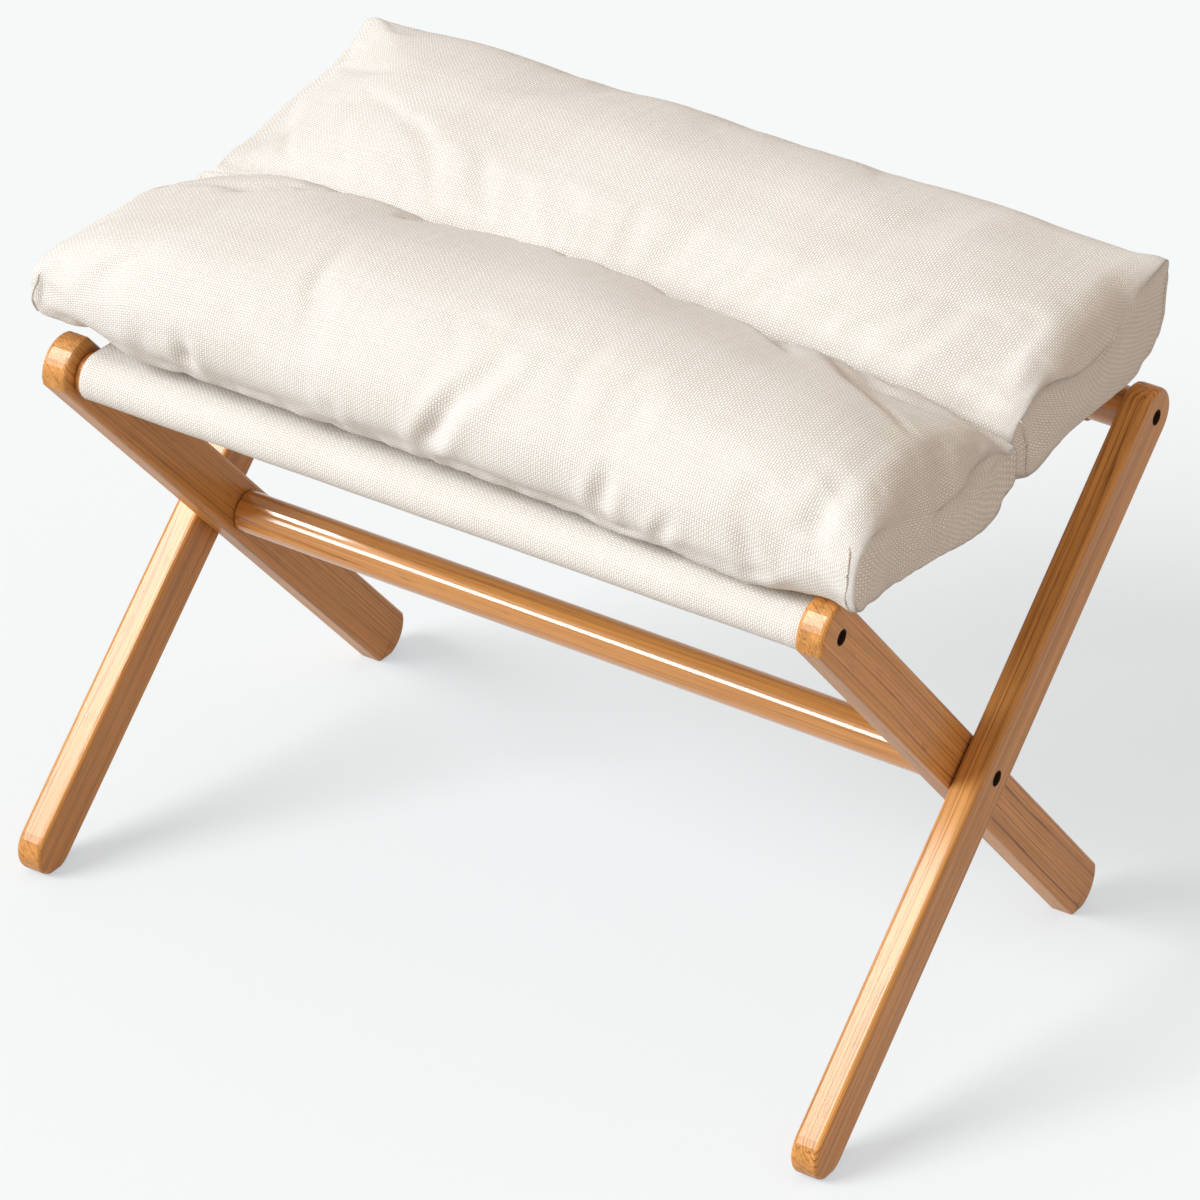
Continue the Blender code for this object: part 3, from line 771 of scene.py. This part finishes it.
def thick_sheet(name, path, left, right, seed):
    """Canvas along a path in Y and Z with hemmed side edges, as a closed thin mesh."""
    column_step, row_step, unevenness = 0.005, 0.003, 0.0004
    rows = resample(path, max(int(path_length(path) / row_step), 4))
    run = np.gradient(rows, axis=0)
    run /= np.linalg.norm(run, axis=1, keepdims=True)
    out = np.stack([-run[:, 1], run[:, 0]], 1)
    along = lengths_along(rows)
    inner_columns = np.linspace(left + 0.012, right - 0.012, int((right - left) / column_step))
    hem = np.array([0.0, 0.0006, 0.004, 0.0085, 0.0095, 0.0108])
    columns = np.concatenate([left + hem, inner_columns, (right - hem)[::-1]])
    hem_swell = np.array([0.0, 0.55, 0.75, 0.6, 0.15, 0.0]) * 0.0006
    swell = np.concatenate([hem_swell, np.zeros(len(inner_columns)), hem_swell[::-1]])
    points = []
    for layer in (1, -1):
        for index, (y, z) in enumerate(rows):
            for column, x in enumerate(columns):
                wave = noise.noise(Vector((x * 24 + seed, along[index] * 24, seed))) * unevenness
                offset = wave + layer * (canvas_thickness / 2 + swell[column] * 0.5)
                points.append((x, y + out[index, 0] * offset, z + out[index, 1] * offset))
    grid = np.arange(len(rows) * len(columns)).reshape(len(rows), -1)
    rim = np.concatenate([grid[0], grid[1:, -1], grid[-1, -2::-1], grid[-2:0:-1, 0]])
    after = np.roll(rim, -1)
    face = squares(grid).reshape(-1, 4)
    edge = np.stack([rim, after, after + grid.size, rim + grid.size], 1)
    faces = np.concatenate([face, face[:, ::-1] + grid.size, edge])
    places = np.dstack(np.meshgrid(columns, along)).reshape(-1, 2)
    return new_piece(name, points, faces, places[faces % grid.size]), rows


def sleeve_path(rail_middle, outward):
    """Canvas round a rail, from the flat over it, down round it and back under the flat."""
    radius = rail_radius + rail_gap + canvas_thickness / 2
    ply = radius - (canvas_thickness + rail_gap)
    direction = math.degrees(math.atan2(ply, tail_start))
    leave = 360.0 + direction - math.degrees(math.acos(radius / math.hypot(tail_start, ply)))
    points = [(flat_end, radius)]
    for angle in np.linspace(90.0, leave, 41):
        turn = math.radians(angle)
        points.append((radius * math.cos(turn), radius * math.sin(turn)))
    points += [(tail_start, ply), (tail_end, ply)]
    return [(rail_middle.y + outward * y, rail_middle.z + z) for y, z in points]


def stitches(name, places, out):
    """A row of short sewn threads that lie on the cloth along a line."""
    length, gap, radius, lift = 0.0026, 0.0014, 0.00028, 0.0001
    places = np.asarray(places, float)
    total = path_length(places)
    count = int(total / (length + gap))
    fine = resample(places, count * 8 + 1)
    out = Vector(out)
    points, faces = [], []
    for number in range(count):
        start, end = Vector(fine[number * 8]), Vector(fine[number * 8 + 5])
        run = (end - start).normalized()
        side = run.cross(out).normalized()
        first = len(points)
        rings = ((0.0, 0.25, -0.6), (0.25, 1.0, 0.6), (0.75, 1.0, 0.6), (1.0, 0.25, -0.6))
        for share, size, rise in rings:
            middle = start.lerp(end, share) + out * (lift + radius * rise)
            for step in range(6):
                angle = math.pi * step / 3
                points.append(middle + (side * math.cos(angle) + out * math.sin(angle)) * radius * size)
        faces += tube_faces(len(rings), 6, first)
    return new_piece(name, points, faces)


# Operators, one for each group of pieces

class StageOperator(bpy.types.Operator):
    """Sets up the camera, the floor and the lights"""
    bl_idname = "stool.add_stage"
    bl_label = "Stage"

    azimuth = 30.802
    elevation = 29.909
    roll = 2.974
    distance = 4.107743
    aside = 0.010486
    raised = 0.019596
    focal_pixels = 6440.521
    image_pixels = 1200
    sensor_width = 36

    def execute(self, context):
        stage = context.scene.stool_stage
        self.add_camera(context)
        self.add_floor(stage)
        self.add_lights(stage)
        self.set_world(context, stage)
        context.scene.view_settings.view_transform = "Standard"
        return {"FINISHED"}

    def add_camera(self, context):
        azimuth, elevation, roll = (math.radians(a) for a in (self.azimuth, self.elevation, self.roll))
        turn = Matrix.Rotation(azimuth, 3, "Z") @ Matrix.Rotation(math.pi / 2 - elevation, 3, "X")
        turn = turn @ Matrix.Rotation(roll, 3, "Z")
        place = pivot + turn @ Vector((self.aside, self.raised, self.distance))
        camera = add_object("camera", bpy.data.cameras.new("camera"))
        camera.matrix_world = Matrix.Translation(place) @ turn.to_4x4()
        camera.data.sensor_fit = "HORIZONTAL"
        camera.data.sensor_width = self.sensor_width
        camera.data.lens = self.focal_pixels / self.image_pixels * self.sensor_width
        camera.data.clip_end = 50
        context.scene.camera = camera

    def add_floor(self, stage):
        half = 9.0
        corners = [(-half, -half, 0.0), (half, -half, 0.0), (half, half, 0.0), (-half, half, 0.0)]
        floor = new_piece("floor", corners, [(0, 1, 2, 3)])
        material, tree, shader = new_material("pale_floor")
        set_inputs(tree, shader, {
            "Base Color": opaque(stage.floor_colour), "Roughness": 0.9, "Specular IOR Level": 0.1})
        path = add_node(tree, "ShaderNodeLightPath").outputs
        seen = maths(tree, "MAXIMUM", path["Is Camera Ray"], path["Is Glossy Ray"])
        seen = product(tree, maths(tree, "MAXIMUM", seen, path["Is Transmission Ray"]), 0.52)
        light = {"Color": (0.78, 0.91, 1.0, 1.0), "Strength": seen}
        glow = add_node(tree, "ShaderNodeEmission", light)
        both = add_node(tree, "ShaderNodeAddShader", {0: shader.outputs[0], 1: glow.outputs[0]})
        tree.links.new(both.outputs[0], tree.nodes["Material Output"].inputs["Surface"])
        floor.data.materials.append(material)

    def add_lights(self, stage):
        """A wide sun from the front left, a weak fill, and a strip for the lacquer's sheen."""
        self.add_lamp(
            "key_light", "SUN", (0, 0, 0), (0.46, 0.70, -0.53), stage.key_power,
            angle=math.radians(30.0), color=(0.86, 0.98, 1.08))
        place = Vector((2.2, -1.3, 1.3))
        self.add_lamp(
            "fill_light", "AREA", place, Vector((0.0, 0.0, 0.3)) - place, stage.fill_power,
            shape="DISK", size=1.8, color=(1.0, 0.96, 0.92))
        place = pivot + Vector((-0.45, -0.47, 0.76)) * 3.0
        strip = self.add_lamp(
            "strip_light", "AREA", place, (0.0, 0.47, -0.76), stage.strip_power,
            shape="RECTANGLE", size=2.4, size_y=1.0)
        strip.visible_diffuse = False

    def add_lamp(self, name, kind, place, aim, power, **options):
        light = bpy.data.lights.new(name, kind)
        light.energy = power
        set_options(light, options)
        lamp = add_object(name, light)
        lamp.location = place
        lamp.rotation_euler = Vector(aim).to_track_quat("-Z", "Y").to_euler()
        return lamp

    def set_world(self, context, stage):
        world = bpy.data.worlds.new("even_light")
        world.use_nodes = True
        context.scene.world = world
        tree = world.node_tree
        seen = add_node(tree, "ShaderNodeLightPath").outputs["Is Camera Ray"]
        strength = spread(tree, seen, 0.0, 1.0, stage.world_strength, 0.94)
        values = {"Color": (1.0, 0.87, 0.76, 1.0), "Strength": strength}
        set_inputs(tree, tree.nodes["Background"], values)


class LegsOperator(bpy.types.Operator):
    """Gives each leg its own board of lacquered wood"""
    bl_idname = "stool.finish_legs"
    bl_label = "Legs"

    # For each kind of leg: its tilt, its board's place in the log, how far that shifts to each side, and
    # its bores, whose walls get painted shade
    boards = {
        "inner": (-135, (0.085, 1.7, 0.03), 0.008, (front_rail_middle,)),
        "outer": (-45, (0.07, 3.1, -0.03), 0.010, (back_rail_middle, pivot)),
    }

    def execute(self, context):
        for kind, (tilt, (x, y, z), shift, shaded_bores) in self.boards.items():
            for word, side in sides:
                leg = f"{kind}_leg_{word}"
                low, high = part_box(leg)
                place = (x - (low.x + high.x) / 2, y * side, z + shift * side)
                dress_node(leg, wood_finish(f"{leg}_wood", (tilt, 0, 0), place, "board", shaded_bores))
        return {"FINISHED"}


class RailsOperator(bpy.types.Operator):
    """Gives the three round rails their glossy lacquered wood"""
    bl_idname = "stool.finish_rails"
    bl_label = "Rails"

    def execute(self, context):
        places = {
            "pivot_stretcher": (0.035, 0.4, -0.18),
            "front_rail": (0.20, 2.4, -0.40),
            "back_rail": (-0.15, 4.4, -0.36),
        }
        for name, place in places.items():
            dress_node(name, wood_finish(f"{name}_wood", (0, 0, 90), place, "rail"))
        return {"FINISHED"}


class FastenersOperator(bpy.types.Operator):
    """Finishes the bolts, their threaded inserts and the pivot washers"""
    bl_idname = "stool.finish_fasteners"
    bl_label = "Fasteners"

    def execute(self, context):
        black = metal_finish("blackened_steel", (0.012, 0.010, 0.009), 0.62, 0.0)
        brass = metal_finish("turned_brass", (0.72, 0.54, 0.24), 0.34)
        nylon = metal_finish("dark_nylon", (0.045, 0.042, 0.038), 0.58, 0.0)
        for word, _ in sides:
            for kind in ("front_rail", "back_rail", "pivot"):
                dress_node(f"{kind}_bolt_{word}", black)
                dress_node(f"{kind}_insert_{word}", brass)
            dress_node(f"pivot_washer_{word}", nylon)
        return {"FINISHED"}


class SlingOperator(bpy.types.Operator):
    """Makes the canvas sling, its sleeves round the two rails and its stitching"""
    bl_idname = "stool.add_sling"
    bl_label = "Sling"

    def execute(self, context):
        cloth = context.scene.stool_cloth
        canvas = woven_finish("canvas_weave", cloth.canvas_colour, cloth.canvas_pitch, 0.00036)
        thread = thread_finish("sewing_thread", cloth.thread_colour)
        level = seat_hinge.z + canvas_thickness / 2
        path = [(back_rail_middle.y + lap, level), (0.0, level), (front_rail_middle.y + ramp_length, level)]
        path += sleeve_path(front_rail_middle, 1)
        left, right = -sling_half_width, sling_half_width + front_extra_width
        piece, rows = thick_sheet("sling_canvas", path, left, right, 3.0)
        finish_piece(piece, canvas)
        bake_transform(piece)
        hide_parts("sling_front_panel", "sling_back_panel")

        path = sleeve_path(back_rail_middle, -1)[::-1]
        sleeve, rows = thick_sheet("back_sleeve_canvas", path, -sling_half_width, sling_half_width, 9.0)
        finish_piece(sleeve, canvas, "back_sleeve")
        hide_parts("sling_back_sleeve")

        under = front_rail_middle.z + rail_radius - canvas_thickness
        for number, inward in enumerate(seam_places, 1):
            for word, y, body in (
                    ("front", front_rail_middle.y + inward, "front_seat"),
                    ("back", back_rail_middle.y - inward, "back_sleeve")):
                line = [(left + 0.004, y, under), (right - 0.004, y, under)]
                row = stitches(f"{word}_sleeve_stitches_{number}", line, (0, 0, -1))
                finish_piece(row, thread, body)
        return {"FINISHED"}


class CushionOperator(bpy.types.Operator):
    """Makes the cushion's two stuffed lobes with their seams and welts"""
    bl_idname = "stool.add_cushion"
    bl_label = "Cushion"

    shrinkage = 0.0035
    swell_height = 0.0035
    swell_length = 0.085
    channel_strip = 0.004
    channel_gap = 0.0006

    front_pulls = [
        ((220, -192, 10), (0, -4, -2), (120, 30, 24)),
        ((296, -36, 4), (3, 0, -10), (30, 60, 26)),
        ((280, -8, 30), (3, 0, -2), (24, 16, 30)),
        ((-296, -60, 4), (0, 0, -5), (22, 80, 22)),
        ((-290, -196, 8), (-4, -5, -6), (40, 24, 24)),
        ((296, -190, 14), (5, -4, -6), (18, 22, 34)),
        ((168, -198, 3), (0, 2, 5), (16, 14, 12)),
    ]
    back_pulls = [
        ((-300, 198, 74), (-9, 3, 0), (34, 34, 26)),
        ((-298, 110, 60), (-5, 0, 0), (20, 70, 40)),
        ((288, 203, 70), (-2, 2, 3), (14, 18, 26)),
        ((288, 203, 20), (-1, 2, 0), (14, 16, 40)),
        ((292, 26, 4), (3, 0, -9), (26, 36, 24)),
    ]
    front_creases = [
        ([(-3, -200, 4), (2, -206, 26), (20, -197, 60), (46, -178, 84)], 6.5, 5.2),
        ([(10, -203, 40), (34, -190, 74), (44, -160, 96)], 9.0, 2.4),
        ([(-162, -199, 4), (-170, -202, 22), (-176, -198, 46)], 5.5, 4.6),
        ([(-200, -199, 6), (-206, -202, 26), (-204, -198, 44)], 7.0, 1.6),
        ([(-58, -200, 4), (-60, -205, 18), (-66, -204, 34)], 5.0, 3.4),
        ([(130, -200, 4), (126, -206, 26), (132, -203, 54)], 6.0, 4.4),
        ([(163, -200, 3), (167, -206, 18), (176, -206, 38)], 5.0, 3.6),
        ([(236, -200, 6), (232, -203, 26), (222, -198, 48)], 6.0, 2.2),
        ([(262, -196, 52), (270, -170, 66), (268, -130, 74)], 8.0, 2.2),
        ([(300, -120, 20), (298, -100, 44), (286, -84, 62)], 9.0, 2.6),
    ]
    back_creases = [
        ([(-150, 120, 98), (-120, 150, 94), (-96, 190, 80)], 12.0, 1.6),
        ([(130, 60, 90), (160, 110, 97), (176, 170, 86)], 14.0, 1.6),
        ([(196, 14, 50), (214, 40, 66), (220, 70, 78)], 8.0, 2.2),
        ([(252, 12, 44), (272, 30, 48), (286, 60, 46)], 7.0, 2.6),
    ]
    front_seams = [
        [(259, 0, 49), (277, 0, 42), (294, 0, 31), (300, 5, 18), (300, 8, 10)],
        [(291, -193, 54), (294, -193, 32), (295, -192, 11)],
        [(-291, -190, 48), (-296, -188, 30), (-297, -184, 14)],
    ]
    back_seams = [
        [(292, 14, 50), (296, 22, 30), (296, 24, 6)],
        [(287, 203, 70), (290, 203, 46), (289, 202, 18)],
        [(-298, 200, 70), (-298, 200, 44), (-292, 198, 18)],
    ]

    # For each lobe: its sections, ends, pulls, creases and seams, the side of the channel
    # that it lies on, the share of its filling's folds that it keeps, and how full it is
    lobes = {
        "front": (front_lobe_rows, front_lobe_ends, front_pulls, front_creases, front_seams, -1, 1.0, 0.7),
        "back": (back_lobe_rows, back_lobe_ends, back_pulls, back_creases, back_seams, 1, 0.45, 0.6),
    }

    def execute(self, context):
        cloth = context.scene.stool_cloth
        cover = woven_finish("cover_weave", cloth.cover_colour, cloth.cover_pitch, 0.00038)
        for word, (rows, ends, pulls, creases, seams, side, folded, fill) in self.lobes.items():
            lobe = self.add_lobe(f"{word}_lobe", lobe_grid(rows, ends), pulls, creases, side, folded)
            finish_piece(lobe, cover, f"{word}_seat")
            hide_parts(f"cushion_{word}_lobe")
            self.add_seams(f"{word}_lobe_welt", lobe, seams, cover, f"{word}_seat")
        return {"FINISHED"}

    def add_seams(self, name, lobe, lines, cover, body):
        """Welts along lines in millimetres, each laid on the lobe's nearest surface."""
        radius = bpy.context.scene.stool_cushion.welt_radius
        for number, line in enumerate(lines, 1):
            places = []
            for place in resample(line, int(path_length(line) / 1.5)):
                wanted = Vector(place * mm) + Vector((0.0, 0.0, cushion_base))
                _, nearest, normal, _ = lobe.closest_point_on_mesh(wanted)
                places.append(nearest + normal * radius * 0.25)
            piece = welt(f"{name}_{number}", eased_line(places, 6), radius)
            finish_piece(piece, cover, body)

    def add_lobe(self, name, grid, pulls, creases, side, folded):
        """One filled lobe of the cushion, from its grid in millimetres."""
        points, faces, cuts = grid
        points[:, 2] += cushion_base / mm
        piece = new_piece(name, points * mm, faces, cuts * mm)
        self.fill(piece, points, folded)
        piece.modifiers.new("finer", "SUBSURF").levels = 1
        bake_modifiers(piece)
        mesh = piece.data
        set_places(mesh, pull_points(places_of(mesh), pulls))
        places = places_of(mesh)
        mask = np.clip((places[:, 2] - cushion_base - 0.008) / 0.02, 0.0, 1.0)
        mask *= np.clip((np.abs(places[:, 1]) - self.channel_strip) / 0.02, 0.0, 1.0)
        soften(mesh, self.swell_height, self.swell_length, 5.0 * side, mask)
        press_creases(mesh, creases)
        places = places_of(mesh)
        places[:, 1] = side * np.maximum(side * places[:, 1], self.channel_gap)
        set_places(mesh, places)
        return piece

    def fill(self, piece, points, folded):
        """Fills the cover by a cloth simulation, with its base and its side of the channel held.

        It starts a little shrunk where it is free. Most of the broad swelling is taken back,
        because the sections already have it, and the folds and puckers stay.
        """
        cushion = bpy.context.scene.stool_cushion
        rest = places_of(piece.data)
        shrunk = rest - self.shrinkage * normals_of(piece.data)
        height = points[:, 2] - cushion_base / mm
        held = np.clip(1.2 - np.maximum(height - 3.0, 0.0) / 9.0, 0.0, 1.0)
        inner = np.clip(1.2 - (np.abs(points[:, 1]) - 3.0) / 8.0, 0.0, 1.0)
        held = np.round(np.maximum(held, inner), 1)
        free = (1.0 - held)[:, None]
        set_places(piece.data, rest * (1 - free) + shrunk * free)
        group = piece.vertex_groups.new(name="held")
        for weight in np.unique(held[held > 0]):
            group.add([int(index) for index in np.nonzero(held == weight)[0]], float(weight), "REPLACE")
        cloth = piece.modifiers.new("filling", "CLOTH")
        set_options(cloth.settings, cover_behaviour)
        cloth.settings.uniform_pressure_force = cushion.pressure
        cloth.settings.vertex_group_mass = "held"
        cloth.settings.effector_weights.gravity = 0.0
        cloth.collision_settings.use_collision = False
        scene = bpy.context.scene
        for number in range(1, filling_frames + 1):
            scene.frame_set(number)
        evaluated = piece.evaluated_get(bpy.context.evaluated_depsgraph_get())
        move = places_of(evaluated.data) - rest
        piece.modifiers.clear()
        piece.vertex_groups.clear()
        scene.frame_set(1)
        size = np.linalg.norm(move, axis=1, keepdims=True)
        move *= np.minimum(1.0, cushion.largest_move / np.maximum(size, 1e-9))
        move -= broad_share * eased(piece.data, move, broad_rounds)
        set_places(piece.data, rest + folded * move)


operators = (
    StageOperator, LegsOperator, RailsOperator, FastenersOperator, SlingOperator, CushionOperator)


class StoolPanel(bpy.types.Panel):
    bl_idname = "VIEW3D_PT_stool"
    bl_label = "Folding stool"
    bl_space_type = "VIEW_3D"
    bl_region_type = "UI"
    bl_category = "Stool"

    def draw(self, context):
        for operator in operators:
            self.layout.operator(operator.bl_idname)
        for name, group in settings_groups.items():
            box = self.layout.box()
            box.label(text=group.__doc__)
            for setting in group.__annotations__:
                box.prop(getattr(context.scene, name), setting)


def register():
    for name, group in settings_groups.items():
        bpy.utils.register_class(group)
        setattr(bpy.types.Scene, name, PointerProperty(type=group))
    for operator in operators:
        bpy.utils.register_class(operator)
    bpy.utils.register_class(StoolPanel)


def unregister():
    bpy.utils.unregister_class(StoolPanel)
    for operator in reversed(operators):
        bpy.utils.unregister_class(operator)
    for name, group in settings_groups.items():
        delattr(bpy.types.Scene, name)
        bpy.utils.unregister_class(group)


def main():
    register()
    for operator in operators:
        group, name = operator.bl_idname.split(".")
        getattr(getattr(bpy.ops, group), name)()


if __name__ == "__main__":
    main()
